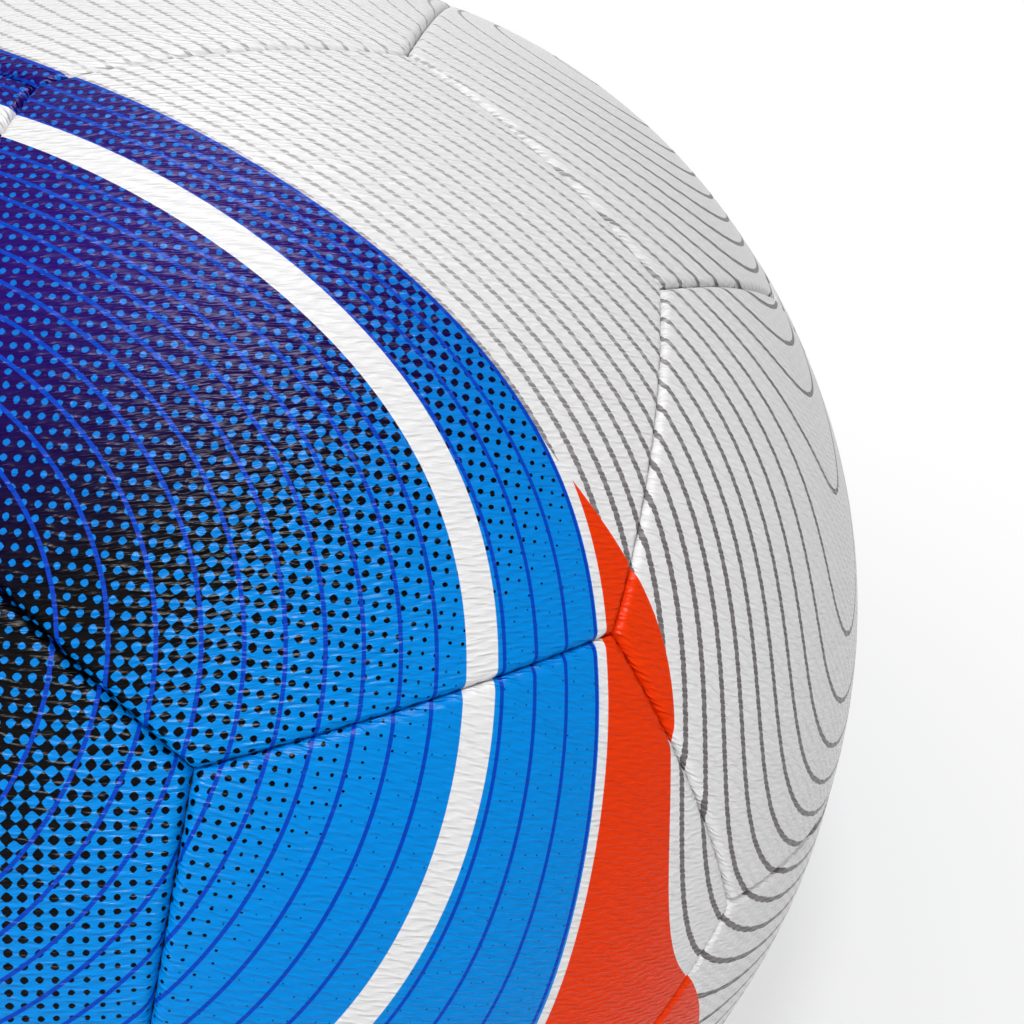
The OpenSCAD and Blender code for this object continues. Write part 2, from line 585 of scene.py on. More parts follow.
@dataclass(frozen=True)
class ContourPrint:
    """A print of contour lines round dotted islands, drawn on the ball's sphere.

    Six waves along the ball's five-fold axes make a field of hills. The hills above the shore
    are the islands. Sizes are in millimetres, and heights are shares of a wave. Spans are the
    heights of the slow field over which a look changes.
    """

    radius: float
    axes: tuple[Triple, ...]
    waves: float = 4.2
    wave_h: float = 0.5
    phase: float = math.radians(70)
    phase_step: float = math.radians(165)
    slow_waves: float = 3.36
    slow_phase: float = math.radians(140)
    slow_step: float = math.radians(280.5)
    least_slope: float = 0.003
    edge_blur: float = 0.05
    shore: float = 0.05
    contour_step: float = 0.085
    fine_line: float = 0.5
    bold_line: float = 0.85
    width_span: Span = (-0.8, 0.8)
    rough_line: float = 0.2
    faint_line: float = 0.6
    fine_wear: float = 0.8
    bold_wear: float = 0.12
    wear_span: Span = (-0.9, 0.6)
    accent_height: float = 0.3
    accent_gap: float = 1.2
    accent_span: Span = (0.1, 0.9)
    ring_height: float = 0.45
    ring_w: float = 3.4
    inlay_step: float = 0.12
    inlay_line: float = 0.42
    dot_pitch: float = 1.36
    dot_blur: float = 0.05
    rough_dot: float = 0.08
    tone_middle: float = 0.28
    tone_slow: float = -0.55
    tone_hill: float = 0.35
    least_tone: float = 0.02
    most_tone: float = 0.78
    sea_depth: float = 0.45
    sea_span: Span = (-0.9, 0.9)
    ink_span: Span = (-0.9, 0.2)
    white: Colour = paint(238, 237, 238)
    grey: Colour = paint(112, 107, 108)
    azure: Colour = paint(0, 138, 226)
    mid_blue: Colour = paint(4, 66, 190)
    navy: Colour = paint(38, 4, 108)
    black: Colour = paint(1, 1, 4)
    orange: Colour = paint(240, 58, 4)

    def hills(self) -> bpy.types.NodeTree:
        """Makes the group that gives a field's height and its slope for each millimetre.

        Returns:
            The group.
        """
        takes = {"Direction": "Vector", "Waves": "Float", "Phase": "Float", "Phase Step": "Float"}
        graph = GroupGraph("print hills", takes, {"Height": "Float", "Slope": "Float"})
        direction, waves = graph.takes["Direction"], graph.takes["Waves"]
        phase = graph.takes["Phase"]
        height: Value = 0.0
        lean: Value = (0.0, 0.0, 0.0)
        for axis in self.axes:
            along = graph.vector("DOT_PRODUCT", direction, axis)
            angle = graph.math("MULTIPLY_ADD", along, waves, phase)
            height = graph.math("MULTIPLY_ADD", graph.math("SINE", angle), self.wave_h, height)
            pull = graph.math("MULTIPLY", graph.math("COSINE", angle), self.wave_h)
            lean = graph.vector("ADD", graph.scaled(axis, pull), lean)
            phase = graph.math("ADD", phase, graph.takes["Phase Step"])
        outward = graph.vector("DOT_PRODUCT", lean, direction)
        square = graph.vector("DOT_PRODUCT", lean, lean)
        across = graph.math("SUBTRACT", square, graph.math("MULTIPLY", outward, outward))
        steep = graph.math("SQRT", graph.math("MAXIMUM", across, 0.0))
        slope = graph.math("MULTIPLY", steep, graph.math("DIVIDE", waves, self.radius))
        graph.feed(graph.gives["Height"], height)
        graph.feed(graph.gives["Slope"], graph.math("MAXIMUM", slope, self.least_slope))
        return graph.tree

    def relief(self, graph: GroupGraph) -> Relief:
        """Places the main field of hills and the slow one.

        Args:
            graph: The print's tree.

        Returns:
            The relief that the print follows.
        """
        hills = self.hills()
        direction = graph.vector("NORMALIZE", graph.takes["Place"])
        main = graph.use(
            hills, Direction=direction, Waves=self.waves, Phase=self.phase,
            Phase_Step=self.phase_step,
        )
        slow = graph.use(
            hills, Direction=direction, Waves=self.slow_waves, Phase=self.slow_phase,
            Phase_Step=self.slow_step,
        )
        above = graph.math("SUBTRACT", main["Height"], self.shore)
        inland = graph.math("DIVIDE", above, main["Slope"])
        return Relief(main["Height"], main["Slope"], above, inland, slow["Height"])

    def inside(self, graph: Graph, depth: Value) -> Socket:
        """Turns a distance inside a shape, in millimetres, into a mask with a crisp edge."""
        return graph.math("MULTIPLY_ADD", depth, 1 / self.edge_blur, 0.5, clamp=True)

    def stripes(self, graph: Graph, relief: Relief, step: float, width: Value) -> Socket:
        """Draws contour lines of an even width.

        Args:
            graph: The tree that they go into.
            relief: The hills.
            step: The height from one line to the next.
            width: The lines' width in millimetres.

        Returns:
            The mask of the lines.
        """
        turn = graph.math("FRACT", graph.math("DIVIDE", relief.height, step))
        off = graph.math("ABSOLUTE", graph.math("SUBTRACT", turn, 0.5))
        away = graph.math("DIVIDE", graph.math("MULTIPLY", off, step), relief.slope)
        return self.inside(graph, graph.math("SUBTRACT", graph.math("MULTIPLY", width, 0.5), away))

    def dots(self, graph: Graph, flat: Socket, tone: Socket) -> Socket:
        """Screens a tone into dots on the panel's flat sheet.

        Args:
            graph: The tree that they go into.
            flat: The place on the flat sheet, in millimetres.
            tone: The share of ink.

        Returns:
            The mask of the ink.
        """
        parts = graph.parts(graph.scaled(flat, TURN / self.dot_pitch))
        waves = [graph.math("COSINE", parts[name]) for name in ("X", "Y")]
        # The screen runs from -1 between the dots to 0 at their middles
        screen = graph.math("MULTIPLY_ADD", graph.math("ADD", *waves), 0.25, -0.5)
        over = graph.math("ADD", tone, screen)
        return graph.math("MULTIPLY_ADD", over, 1 / self.dot_blur, 0.5, clamp=True)

    def ground(self, graph: GroupGraph, relief: Relief) -> Socket:
        """Draws the white ground, with worn contour lines and accents on bare beaches.

        Args:
            graph: The print's tree.
            relief: The hills.

        Returns:
            The ground's colour.
        """
        slow, wear = relief.slow, graph.takes["Wear"]
        width = graph.ramp(slow, self.width_span, self.fine_line, self.bold_line)
        width = graph.math("MULTIPLY_ADD", wear, -self.rough_line, width)
        lines = self.stripes(graph, relief, self.contour_step, width)
        strength = graph.ramp(slow, self.wear_span, self.faint_line, 1.0)
        lost = graph.ramp(slow, self.wear_span, self.fine_wear, self.bold_wear)
        kept = graph.math("SUBTRACT", 1.0, graph.math("MULTIPLY", wear, lost))
        lines = graph.math("MULTIPLY", lines, graph.math("MULTIPLY", strength, kept))
        ground = graph.blend(lines, self.white, self.grey)

        beach = graph.ramp(slow, self.accent_span, 0.0, self.accent_height)
        on_beach = graph.math("DIVIDE", graph.math("ADD", relief.above, beach), relief.slope)
        seaward = graph.math("MULTIPLY_ADD", relief.inland, -1.0, -self.accent_gap)
        bare = self.inside(graph, graph.math("SUBTRACT", on_beach, self.edge_blur))
        accent = self.inside(graph, graph.math("MINIMUM", on_beach, seaward))
        return graph.blend(accent, graph.blend(bare, ground, self.white), self.orange)

    def islands(self, graph: GroupGraph, relief: Relief) -> Socket:
        """Draws the blue islands, with dots of ink, inlaid lines and a white ring.

        Args:
            graph: The print's tree.
            relief: The hills.

        Returns:
            The islands' colour.
        """
        slow = relief.slow
        tone = graph.math("MULTIPLY_ADD", slow, self.tone_slow, self.tone_middle)
        tone = graph.math("MULTIPLY_ADD", relief.above, self.tone_hill, tone)
        tone = graph.math("MINIMUM", graph.math("MAXIMUM", tone, self.least_tone), self.most_tone)
        tone = graph.math("MULTIPLY_ADD", graph.takes["Wear"], -self.rough_dot, tone)
        depth = graph.ramp(slow, self.sea_span, self.sea_depth, 0.0)
        sea = graph.blend(depth, self.azure, self.mid_blue)
        ink = graph.blend(graph.ramp(slow, self.ink_span, 0.0, 1.0), self.navy, self.black)
        islands = graph.blend(self.dots(graph, graph.takes["Flat"], tone), sea, ink)
        inlay = self.stripes(graph, relief, self.inlay_step, self.inlay_line)
        islands = graph.blend(inlay, islands, self.mid_blue)
        off_ring = graph.math("ABSOLUTE", graph.math("SUBTRACT", relief.above, self.ring_height))
        off_ring = graph.math("DIVIDE", off_ring, relief.slope)
        ring = self.inside(graph, graph.math("SUBTRACT", self.ring_w / 2, off_ring))
        return graph.blend(ring, islands, self.white)

    def group(self) -> bpy.types.NodeTree:
        """Makes the group that gives the printed colour.

        Returns:
            The group.
        """
        takes = {"Place": "Vector", "Flat": "Vector", "Wear": "Float"}
        graph = GroupGraph("contour print", takes, {"Color": "Color"})
        relief = self.relief(graph)
        blue = self.inside(graph, relief.inland)
        colour = graph.blend(blue, self.ground(graph, relief), self.islands(graph, relief))
        graph.feed(graph.gives["Color"], colour)
        return graph.tree


@dataclass(frozen=True)
class Grain:
    """The wavy grain pressed into a cover sheet, its rows staggered like bricks.

    Sizes are in millimetres, and how far rows wander or bow is in shares of a row.
    """

    row_w: float = 0.84
    wave_l: float = 3.2
    stagger: float = 0.5
    bow: float = 0.14
    wander_l: float = 5.0
    wander: float = 1.4
    least_swell: float = 0.3
    fibre_l: float = 1.6
    fibre_w: float = 0.22
    fibre_span: Span = (0.25, 0.75)
    fibre_share: float = 0.24

    def group(self) -> bpy.types.NodeTree:
        """Makes the group for the grain's height and its hollows, where painted shade goes.

        Returns:
            The group.
        """
        takes = {"Flat": "Vector", "Turn": "Float"}
        graph = GroupGraph("pressed grain", takes, {"Height": "Float", "Hollow": "Float"})
        turned = graph.node("VectorRotate", rotation_type="Z_AXIS")
        graph.feed(turned.inputs["Vector"], graph.takes["Flat"])
        graph.feed(turned.inputs["Angle"], graph.takes["Turn"])
        flat = turned.outputs["Vector"]
        parts = graph.parts(flat)
        astray = graph.noise(flat, 1 / self.wander_l, detail=1.0)
        astray = graph.math("MULTIPLY", astray, TURN * self.wander)
        row = graph.math("MULTIPLY_ADD", parts["Y"], TURN / self.row_w, astray)
        stagger = graph.math("MULTIPLY", row, self.stagger)
        wave = graph.math("MULTIPLY_ADD", parts["X"], TURN / self.wave_l, stagger)
        bowed = graph.math("MULTIPLY_ADD", graph.math("SINE", wave), TURN * self.bow, row)
        ripple = graph.math("MULTIPLY_ADD", graph.math("SINE", bowed), 0.5, 0.5)
        swell = graph.ramp(graph.math("COSINE", wave), (-1.0, 1.0), self.least_swell, 1.0)
        ripple = graph.math("MULTIPLY", ripple, swell)
        thin = graph.vector("MULTIPLY", flat, (1 / self.fibre_l, 1 / self.fibre_w, 0.0))
        fibre = graph.ramp(graph.noise(thin, scale=1.0, detail=1.0), self.fibre_span, 0.0, 1.0)
        height = graph.math("MULTIPLY", ripple, 1 - self.fibre_share)
        height = graph.math("MULTIPLY_ADD", fibre, self.fibre_share, height)
        graph.feed(graph.gives["Height"], height)
        graph.feed(graph.gives["Hollow"], graph.math("SUBTRACT", 1.0, height))
        return graph.tree


@dataclass(frozen=True)
class CoverFinish:
    """Printed, grained synthetic leather with painted shade in its hollows. Depths are in
    millimetres.
    """

    design: ContourPrint
    grain: Grain
    grain_depth: float = 0.2
    grain_strength: float = 1.0
    wear_span: Span = (0.1, 0.45)
    # Painted shade: how far into the grain's hollows the colour darkens, and how dark it gets
    # there
    painted_shade_span: Span = (0.2, 1.0)
    painted_hollow_shade: float = 0.86
    rough_span: Span = (0.2, 0.9)
    least_rough: float = 0.2
    most_rough: float = 0.32
    ior: float = 1.5
    gloss: float = 0.05

    def material(self) -> bpy.types.Material:
        """Makes the material that all the panels share.

        Returns:
            The material.
        """
        graph = MaterialGraph("printed_cover", IOR=self.ior, Specular_IOR_Level=self.gloss)
        flat = graph.node("UVMap", uv_map=FLAT_MAP).outputs["UV"]
        turn = graph.node("Attribute", attribute_name=GRAIN_TURN).outputs["Fac"]
        shift = graph.node("Attribute", attribute_name=PRINT_SHIFT).outputs["Vector"]
        on_ball = graph.vector("ADD", graph.spot(), shift)
        grain = graph.use(self.grain.group(), Flat=flat, Turn=turn)
        wear = graph.ramp(grain["Height"], self.wear_span, 1.0, 0.0)
        printed = graph.use(self.design.group(), Place=on_ball, Flat=flat, Wear=wear)
        # Painted shade: the printed colour is darkened in the grain's hollows, where shade would
        # fall
        painted_shade = graph.ramp(grain["Hollow"], self.painted_shade_span, 1.0, self.painted_hollow_shade)
        graph.link("Base Color", graph.scaled(printed["Color"], painted_shade))
        rough = graph.ramp(grain["Height"], self.rough_span, self.most_rough, self.least_rough)
        graph.link("Roughness", rough)
        graph.bump(grain["Height"], self.grain_depth, self.grain_strength)
        return graph.material


@dataclass(frozen=True)
class ThreadFinish:
    """Dark waxed thread. The twist's pitch and the bump's depth are in millimetres."""

    twist: float = 0.5
    detail: float = 2.0
    rough: float = 0.5
    gloss: float = 0.1
    bump_depth: float = 0.05
    bump_strength: float = 0.6
    dark: Colour = paint(34, 34, 42)
    light: Colour = paint(74, 74, 84)

    def material(self) -> bpy.types.Material:
        """Makes the thread's material.

        Returns:
            The material.
        """
        constants = {"Roughness": self.rough, "Specular_IOR_Level": self.gloss}
        graph = MaterialGraph("waxed_thread", **constants)
        fibre = graph.noise(graph.spot(), 1 / (self.twist * MM), self.detail)
        graph.link("Base Color", graph.blend(fibre, self.dark, self.light))
        graph.bump(fibre, self.bump_depth, self.bump_strength)
        return graph.material


@dataclass(frozen=True)
class RubberFinish:
    """Moulded rubber with a faint bloom, mottled and finely pored. Sizes are in millimetres."""

    name: str
    dark: Colour
    light: Colour
    rough: float = 0.55
    mottle: float = 1.2
    mottle_detail: float = 3.0
    mottle_rough: float = 0.6
    bloom: float = 0.1
    bloom_span: Span = (0.2, 0.8)
    pores: float = 6.0
    bump_depth: float = 0.04
    bump_strength: float = 0.4

    def material(self) -> bpy.types.Material:
        """Makes the rubber's material.

        Returns:
            The material.
        """
        graph = MaterialGraph(self.name)
        spot = graph.spot()
        size = self.mottle * MM
        coarse = graph.noise(spot, 1 / size, self.mottle_detail, self.mottle_rough)
        fine = graph.noise(spot, self.pores / size, detail=1.0)
        graph.link("Base Color", graph.blend(coarse, self.dark, self.light))
        least, most = self.rough - self.bloom, self.rough + self.bloom
        graph.link("Roughness", graph.ramp(coarse, self.bloom_span, least, most))
        graph.bump(fine, self.bump_depth, self.bump_strength)
        return graph.material


@dataclass(frozen=True)
class ClothFinish:
    """Plain-woven cloth. The yarns' pitch and the bump's depth are in millimetres."""

    name: str
    dark: Colour
    light: Colour
    pitch: float = 0.9
    rough: float = 0.85
    bump_depth: float = 0.15
    bump_strength: float = 0.6

    def material(self) -> bpy.types.Material:
        """Makes the cloth's material.

        Returns:
            The material.
        """
        graph = MaterialGraph(self.name, Roughness=self.rough)
        parts = graph.parts(graph.scaled(graph.spot(), math.pi / (self.pitch * MM)))
        waves = [graph.math("SINE", parts[name]) for name in ("X", "Y", "Z")]
        over = graph.math("MULTIPLY", waves[0], waves[1])
        # The sum runs from -2 to 2, and the weave from 0 to 1
        weave = graph.math("MULTIPLY_ADD", graph.math("ADD", over, waves[2]), 0.25, 0.5)
        graph.link("Base Color", graph.blend(weave, self.dark, self.light))
        graph.bump(weave, self.bump_depth, self.bump_strength)
        return graph.material


# Sub-assemblies


@dataclass
class Cover:
    """The stitched cover: every panel is cut flat, then formed on the ball.

    Sizes are in millimetres, and the flat cuts are drawn in millimetres too. Each cut is a slab
    of two sheets: the outer one lies at zero and the inner one back_drop below it.
    """

    layout: Layout
    finish: CoverFinish
    swell: float = 0.45
    thickness: float = 2.4
    turn_in: float = 1.4
    shoulder: float = 1.15
    tight_gap: float = 0.02
    stitch_gap: float = 0.14
    stitch_dent: float = 0.2
    stitch_reach: float = 0.5
    pull_share: float = 0.5
    corner_blend: float = 0.6
    deepest: float = 2.4
    crown_rows: int = 40
    side_splits: int = 3
    shoulder_rows: int = 12
    back_rows: int = 20
    back_splits: int = 6
    back_drop: float = 5.0
    rim_slack: float = 0.01
    hole_r: float = 4.65
    hole_share: float = 0.15
    lip: float = 0.6
    lip_rows: int = 5
    lip_step: float = 0.2
    smooth_angle: float = math.radians(50)
    print_slip: float = 0.9
    print_north: Triple = (0.36, 0.48, 0.8)
    grain_lean: float = math.radians(20)
    map_room: float = 2.04
    wall_share: float = 0.7
    tuck_place: float = 0.06
    tuck_share: float = 0.1
    seed: int = 32

    @property
    def shoulder_start(self) -> float:
        """How far from the seam's plane the rolled shoulder begins."""
        return self.tight_gap + self.shoulder

    @property
    def flat_shoulder(self) -> float:
        """The shoulder's width when it lies flat."""
        return self.shoulder * math.pi / 2

    def flat_crown(self, cut: Cut) -> float:
        """The flat distance from a panel's middle to its shoulder."""
        return self.layout.radius * self.layout.edge_polar(cut) - self.shoulder_start

    def flat_back(self, cut: Cut) -> float:
        """The flat distance from a panel's middle to its inner rim."""
        return self.flat_crown(cut) + self.flat_shoulder + self.turn_in

    def outer_sheet(self, flat: Array) -> Array:
        """Tells which points of a flat cut are on its outer sheet."""
        return flat[:, 2] > -self.back_drop / 2

    def flat_parts(self, flat: Array, cut: Cut) -> tuple[Array, Array, Array]:
        """Finds where points lie on a flat cut.

        Args:
            flat: The points.
            cut: The panel's outline.

        Returns:
            The direction of each point's side, the distance towards that side, and the place
            along it from -1 to 1.
        """
        step = TURN / cut.sides
        azimuth = np.arctan2(flat[:, 1], flat[:, 0]) % TURN
        middle = (np.floor(azimuth / step) + 0.5) * step
        towards = flat[:, 0] * np.cos(middle) + flat[:, 1] * np.sin(middle)
        along = flat[:, 1] * np.cos(middle) - flat[:, 0] * np.sin(middle)
        half = np.maximum(towards * math.tan(math.pi / cut.sides), TINY)
        return middle, towards, np.clip(along / half, -1, 1)

    def read_rims(self, slab: bpy.types.Object, cut: Cut) -> tuple[Array, Array]:
        """Reads where the points of the slab in edit lie.

        Args:
            slab: The object in edit mode.
            cut: The outline.

        Returns:
            The distance of each point towards its side, and whether it is on the outer sheet.
        """
        slab.update_from_editmode()
        flat = points(slab)
        return self.flat_parts(flat, cut)[1], self.outer_sheet(flat)

    def add_fan(self, cut: Cut, apothem: float, drop: float, rows: int, splits: int) -> None:
        """Adds a flat fan of triangles and leaves its split rim selected.

        Args:
            cut: The outline.
            apothem: The distance from its middle to its sides.
            drop: How far it lies below zero.
            rows: How many rows of triangles it has.
            splits: How many parts the rim of each outer triangle is split into.
        """
        bpy.ops.mesh.primitive_circle_add(
            vertices=cut.sides,
            radius=apothem / math.cos(math.pi / cut.sides),
            fill_type="TRIFAN",
            location=(0, 0, -drop),
            rotation=(0, 0, -math.pi / 2),
        )
        if bpy.context.object.mode == "OBJECT":
            bpy.ops.object.transform_apply(location=True, rotation=True, scale=True)
            bpy.ops.object.mode_set(mode="EDIT")
        bpy.ops.mesh.subdivide(number_cuts=rows - 1)
        bpy.ops.mesh.region_to_loop()
        bpy.ops.mesh.subdivide(number_cuts=splits - 1)

    def flat_cut(self, cut: Cut, pierced: bool) -> bpy.types.Object:
        """Models a panel as it is cut: a flat slab with fine rows along its rim.

        Args:
            cut: The outline.
            pierced: Whether it has the valve's hole.

        Returns:
            The closed slab.
        """
        deselect()
        crown, back = self.flat_crown(cut), self.flat_back(cut)
        self.add_fan(cut, crown, 0.0, self.crown_rows, self.side_splits)
        slab = bpy.context.object
        rim = draw_rim(crown, self.flat_shoulder / self.shoulder_rows, self.shoulder_rows)
        bpy.ops.mesh.select_all(action="DESELECT")
        self.add_fan(cut, back, self.back_drop, self.back_rows, self.back_splits)
        self.bridge(slab, cut, rim, back)
        if pierced:
            self.pierce(slab, cut, crown * self.hole_share, back * self.hole_share)
        turn_outwards()
        return slab

    def bridge(self, slab: bpy.types.Object, cut: Cut, outer: float, inner: float) -> None:
        """Joins a rim of the outer sheet to a rim of the inner one.

        Args:
            slab: The object in edit mode.
            cut: The outline.
            outer: The outer sheet's rim, as the distance to its sides.
            inner: The inner sheet's rim.
        """
        towards, top = self.read_rims(slab, cut)
        choose(slab, np.abs(towards - np.where(top, outer, inner)) < self.rim_slack)
        bpy.ops.mesh.bridge_edge_loops()

    def pierce(self, slab: bpy.types.Object, cut: Cut, outer: float, inner: float) -> None:
        """Opens the valve's hole through both sheets.

        Args:
            slab: The object in edit mode.
            cut: The outline.
            outer: The hole's rim in the outer sheet, before its lip is drawn in.
            inner: The hole's rim in the inner sheet.
        """
        towards, top = self.read_rims(slab, cut)
        choose(slab, towards < np.where(top, outer, inner) + self.rim_slack)
        bpy.ops.mesh.delete(type="FACE")
        towards, top = self.read_rims(slab, cut)
        choose(slab, ~top & (towards < inner + self.rim_slack))
        bpy.ops.mesh.subdivide(number_cuts=1)
        towards, top = self.read_rims(slab, cut)
        choose(slab, top & (towards < outer + self.rim_slack))
        drawn = draw_rim(outer, -self.lip_step, self.lip_rows)
        self.bridge(slab, cut, drawn, inner)

    def seam_distances(self, rays: Array, cut: Cut) -> Array:
        """Measures how far points lie from the planes of a panel's seams.

        Args:
            rays: The points' directions, with the panel facing +Z.
            cut: The outline.

        Returns:
            A row for each point, with its distance from each seam.
        """
        polar = self.layout.edge_polar(cut)
        middles = (np.arange(cut.sides) + 0.5) * TURN / cut.sides
        level = -math.cos(polar)
        rise = np.full(cut.sides, math.sin(polar))
        normals = np.stack([level * np.cos(middles), level * np.sin(middles), rise])
        return self.layout.radius * np.arcsin(np.clip(rays @ normals, -1, 1))

    def stitch_pull(self, along: Array) -> Array:
        """Gives how hard the stitches pull, from 0 between two of them to 1 at each."""
        wave = 0.5 - 0.5 * np.cos(math.pi * self.layout.stitches * (along + 1))
        return wave**2

    def sink(self, rays: Array, along: Array, cut: Cut) -> Array:
        """Works out how far the rolled shoulder lies below the crown.

        Args:
            rays: The points' directions, with the panel facing +Z.
            along: Their places along the nearest side.
            cut: The outline.

        Returns:
            The depths.
        """
        nearest = np.sort(self.seam_distances(rays, cut), axis=1)[:, :2]
        share = np.clip(0.5 + 0.5 * (nearest[:, 1] - nearest[:, 0]) / self.corner_blend, 0, 1)
        seam = nearest[:, 1] + (nearest[:, 0] - nearest[:, 1]) * share
        seam -= self.corner_blend * share * (1 - share)
        roll = (self.shoulder_start - seam) / self.shoulder
        arc = np.clip(roll, 0, 1)
        depth = self.shoulder * (1 - np.sqrt(1 - arc**2))
        depth += self.shoulder * np.maximum(roll - 1, 0)
        reach = np.exp(-((np.maximum(nearest[:, 0], 0) / self.stitch_reach) ** 2))
        return np.minimum(depth + self.stitch_dent * self.stitch_pull(along) * reach, self.deepest)

    def crown_radius(self, polar: Array, cut: Cut) -> Array:
        """Gives the crowned surface's distance from the ball's centre.

        Args:
            polar: Angles from the panel's middle.
            cut: The outline.

        Returns:
            The distances.
        """
        shift = self.swell / (1 - math.cos(self.layout.edge_polar(cut)))
        inner = self.layout.radius - shift
        return shift * np.cos(polar) + np.sqrt(inner**2 - (shift * np.sin(polar)) ** 2)

    def seam_rays(self, middle: Array, along: Array, cut: Cut) -> tuple[Array, Array]:
        """Finds where the lines from a panel's middle through its points meet the seams.

        Args:
            middle: The direction of each point's side.
            along: Its place along that side, from -1 to 1.
            cut: The outline.

        Returns:
            The angles from the panel's middle to the seams, and the lines' X and Y.
        """
        polar = self.layout.edge_polar(cut)
        swing = along * self.layout.edge_angle / 2
        seam_polar = np.arccos(math.cos(polar) * np.cos(swing))
        ahead, aside = math.sin(polar) * np.cos(swing), np.sin(swing)
        x_part = ahead * np.cos(middle) - aside * np.sin(middle)
        y_part = ahead * np.sin(middle) + aside * np.cos(middle)
        return seam_polar, np.stack([x_part, y_part]) / np.sin(seam_polar)

    def rolled_polar(self, rolled: Array, along: Array, seam_polar: Array, cut: Cut) -> Array:
        """Works out how far from the panel's middle the shoulder's rows lie.

        Args:
            rolled: How far round the shoulder each point is, from 0 to 1.
            along: Its place along the nearest side.
            seam_polar: The angle to the seam on its line.
            cut: The outline.

        Returns:
            The angles from the panel's middle.
        """
        pull = self.stitch_pull(along) * np.clip(rolled / self.pull_share, 0, 1)
        gap = self.tight_gap + (self.stitch_gap - self.tight_gap) * pull
        from_seam = gap + self.shoulder * (1 - np.sin(rolled * math.pi / 2))
        lean = np.sin(from_seam / self.layout.radius) * np.sin(seam_polar)
        return seam_polar - np.arcsin(lean / math.sin(self.layout.edge_polar(cut)))

    def form(self, flat: Array, panel: Panel) -> Array:
        """Forms a flat cut on the ball.

        Args:
            flat: The flat cut's points.
            panel: The panel.

        Returns:
            The points in metres, in the ball's frame.
        """
        cut, outer = panel.cut, self.outer_sheet(flat)
        crown, back = self.flat_crown(cut), self.flat_back(cut)
        middle, towards, along = self.flat_parts(flat, cut)
        seam_polar, line = self.seam_rays(middle, along, cut)
        rolled = np.where(outer, np.clip((towards - crown) / self.flat_shoulder, 0, 1), 1.0)
        polar = self.rolled_polar(rolled, along, seam_polar, cut)
        share = np.clip(towards / np.where(outer, crown, back), 0, 1)
        lip = np.zeros(len(flat))
        if panel.pierced:
            drawn = (crown * self.hole_share - towards) / (self.lip_step * self.lip_rows)
            lip = np.where(outer, np.clip(drawn, 0, 1), 1.0) * math.pi / 2
            hole = (self.hole_r + self.lip * (1 - np.sin(lip))) / self.layout.radius
            spread = np.clip((share - self.hole_share) / (1 - self.hole_share), 0, 1)
            polar = hole + (polar - hole) * spread
        else:
            polar = polar * share

        rays = np.stack([line[0] * np.sin(polar), line[1] * np.sin(polar), np.cos(polar)], axis=1)
        dip = self.sink(rays, along, cut) + self.lip * (1 - np.cos(lip))
        rim_share = np.clip((share - 1) * self.back_rows + 1, 0, 1)
        lining_side = self.layout.radius - self.thickness - self.turn_in * rim_share
        radius = np.where(outer, self.crown_radius(polar, cut) - dip, lining_side)
        return (rays * radius[:, None]) @ panel.basis() * MM

    def add_maps(self, piece: bpy.types.Object, flat: Array, panel: Panel) -> None:
        """Adds the flat sheet's map in millimetres and a map for baking.

        In the map for baking, the outer sheet fills the middle of the square. The inner sheet,
        which is hidden, is tucked into a corner, and the wall of the hole lies inside the hole.

        Args:
            piece: The formed panel.
            flat: The flat cut's points.
            panel: The panel.
        """
        mesh = piece.data
        corners = np.empty(len(mesh.loops), np.int32)
        mesh.loops.foreach_get("vertex_index", corners)
        sizes = np.array([len(face.vertices) for face in mesh.polygons])
        of_face = np.repeat(np.arange(len(sizes)), sizes)
        inner = ~self.outer_sheet(flat)[corners]
        hidden = (np.bincount(of_face, inner) == sizes)[of_face]
        north = panel.basis() @ np.array(self.print_north)
        turn = math.atan2(north[1], north[0])
        spin = np.array([[math.cos(turn), -math.sin(turn)], [math.sin(turn), math.cos(turn)]])
        on_sheet = flat[corners, :2]
        sheet = mesh.uv_layers.new(name=FLAT_MAP)
        sheet.data.foreach_set("uv", (on_sheet @ spin).astype(np.float32).ravel())

        extent = np.abs(flat[:, :2]).max() * self.map_room
        towards = self.flat_parts(flat, panel.cut)[1][corners]
        hole_wall = inner & ~hidden & (towards < self.flat_crown(panel.cut) / 2)
        on_sheet = np.where(hole_wall[:, None], on_sheet * self.wall_share, on_sheet)
        spread = 0.5 + on_sheet / extent
        tucked = self.tuck_place + self.tuck_share * on_sheet / extent
        baked = np.where(hidden[:, None], tucked, spread)
        layer = mesh.uv_layers.new(name=BAKE_MAP)
        layer.data.foreach_set("uv", baked.astype(np.float32).ravel())

    def add_attributes(
        self, piece: bpy.types.Object, flat: Array, number: int, panel: Panel
    ) -> None:
        """Adds the print's shift and the grain's direction, which differ from panel to panel.

        The print slips a little on each sheet, and it keeps its scale where the sheet rolls
        over the shoulder into the seam.

        Args:
            piece: The formed panel.
            flat: The flat cut's points.
            number: The panel's number.
            panel: The panel.
        """
        slip = np.random.default_rng(self.seed + number).uniform(-1, 1, 2) * self.print_slip
        middle, towards, _ = self.flat_parts(flat, panel.cut)
        bent = np.clip((towards - self.flat_crown(panel.cut)) / self.shoulder, 0, math.pi / 2)
        spare = self.shoulder * (bent - np.sin(bent))
        sideways = slip + spare[:, None] * np.stack([np.cos(middle), np.sin(middle)], axis=1)
        shift = sideways @ panel.basis()[:2] * MM
        moved = piece.data.attributes.new(PRINT_SHIFT, "FLOAT_VECTOR", "POINT")
        moved.data.foreach_set("vector", shift.astype(np.float32).ravel())
        lean = self.grain_lean * (2 * (number * GOLDEN % 1) - 1)
        turned = piece.data.attributes.new(GRAIN_TURN, "FLOAT", "POINT")
        turned.data.foreach_set("value", np.full(len(flat), math.pi / 2 + lean, np.float32))

